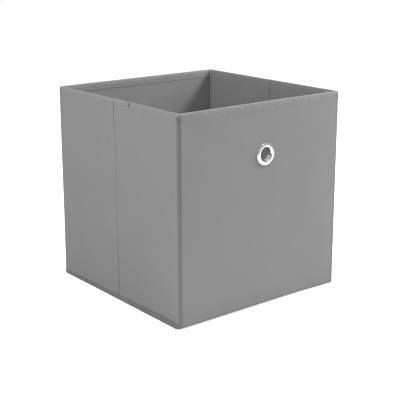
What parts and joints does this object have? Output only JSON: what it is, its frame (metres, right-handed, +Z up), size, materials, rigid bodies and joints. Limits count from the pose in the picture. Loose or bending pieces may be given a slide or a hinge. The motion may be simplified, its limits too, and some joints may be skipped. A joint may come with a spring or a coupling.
{
  "type": "fabric storage bin",
  "caption": "Open folding fabric cube bin: board panels in a sewn shell, a hem round the rim, one metal eyelet in front, creased side walls and a lift-up base.",
  "frame": {"origin": "middle of the footprint, on the surface that the bin stands on", "axes": "+Z up; -Y is the front with the eyelet; -X is the left side"},
  "size_m": [0.32, 0.3218, 0.32],
  "materials": {
    "outer_fabric": "matte non-woven felt, mid grey",
    "lining_fabric": "matte non-woven felt, mid grey, inner side",
    "hem_fabric": "matte non-woven felt, doubled and stitched",
    "seam_fabric": "matte non-woven felt, unstiffened and slightly puckered",
    "greyboard": "raw greyboard, hidden inside the fabric",
    "chrome": "polished nickel or chrome plate"
  },
  "bodies": {
    "back_wall": {"back_outer_fabric": "outer_fabric", "back_card": "greyboard", "back_lining": "lining_fabric", "back_rim_hem": "hem_fabric", "back_left_corner_strip": "seam_fabric", "back_right_corner_strip": "seam_fabric", "bottom_sheet": "outer_fabric", "base_hinge_strip": "seam_fabric"},
    "left_rear_panel": {"left_rear_outer_fabric": "outer_fabric", "left_rear_card": "greyboard", "left_rear_lining": "lining_fabric", "left_rear_rim_hem": "hem_fabric", "left_rear_bottom_seam": "seam_fabric", "left_crease_strip": "seam_fabric"},
    "left_front_panel": {"left_front_outer_fabric": "outer_fabric", "left_front_card": "greyboard", "left_front_lining": "lining_fabric", "left_front_rim_hem": "hem_fabric", "left_front_bottom_seam": "seam_fabric"},
    "front_wall": {"front_outer_fabric": "outer_fabric", "front_card": "greyboard", "front_lining": "lining_fabric", "front_rim_hem": "hem_fabric", "front_bottom_seam": "seam_fabric", "front_left_corner_strip": "seam_fabric", "front_right_corner_strip": "seam_fabric", "eyelet_flange": "chrome", "eyelet_washer": "chrome"},
    "right_front_panel": {"right_front_outer_fabric": "outer_fabric", "right_front_card": "greyboard", "right_front_lining": "lining_fabric", "right_front_rim_hem": "hem_fabric", "right_front_bottom_seam": "seam_fabric"},
    "right_rear_panel": {"right_rear_outer_fabric": "outer_fabric", "right_rear_card": "greyboard", "right_rear_lining": "lining_fabric", "right_rear_rim_hem": "hem_fabric", "right_rear_bottom_seam": "seam_fabric", "right_crease_strip": "seam_fabric"},
    "base_flap": {"base_edge_binding": "hem_fabric", "base_lower_cover": "outer_fabric", "base_card": "greyboard", "base_upper_cover": "lining_fabric"}
  },
  "joints": [
    {"name": "fold", "type": "hinge", "parent": "back_wall", "child": "left_rear_panel", "pos_m": [-0.1556, 0.1495, 0.16], "axis": [0, 0, 1], "range_deg": [0, 89], "deforming": ["back_left_corner_strip", "back_right_corner_strip", "left_rear_bottom_seam"]},
    {"name": "left_crease_fold", "type": "hinge", "parent": "left_rear_panel", "child": "left_front_panel", "pos_m": [-0.1602, 0, 0.16], "axis": [0, 0, 1], "range_deg": [-178, 0], "deforming": ["left_crease_strip", "left_front_bottom_seam"]},
    {"name": "front_left_corner_fold", "type": "hinge", "parent": "left_front_panel", "child": "front_wall", "pos_m": [-0.1556, -0.1495, 0.16], "axis": [0, 0, 1], "range_deg": [0, 89], "deforming": ["front_left_corner_strip", "front_bottom_seam"]},
    {"name": "front_right_corner_fold", "type": "hinge", "parent": "front_wall", "child": "right_front_panel", "pos_m": [0.1556, -0.1495, 0.16], "axis": [0, 0, 1], "range_deg": [0, 89], "deforming": ["front_right_corner_strip", "right_front_bottom_seam"]},
    {"name": "right_crease_fold", "type": "hinge", "parent": "right_front_panel", "child": "right_rear_panel", "pos_m": [0.1602, 0, 0.16], "axis": [0, 0, 1], "range_deg": [-178, 0], "deforming": ["right_crease_strip", "right_rear_bottom_seam"]},
    {"name": "base_lift", "type": "hinge", "parent": "back_wall", "child": "base_flap", "pos_m": [0, 0.1515, 0.00085], "axis": [-1, 0, 0], "range_deg": [0, 90], "deforming": ["base_hinge_strip"]}
  ],
  "couplings": [
    {"joint": "left_crease_fold", "follows": "fold", "ratio": -2},
    {"joint": "front_left_corner_fold", "follows": "fold", "ratio": 1},
    {"joint": "front_right_corner_fold", "follows": "fold", "ratio": 1},
    {"joint": "right_crease_fold", "follows": "fold", "ratio": -2}
  ]
}
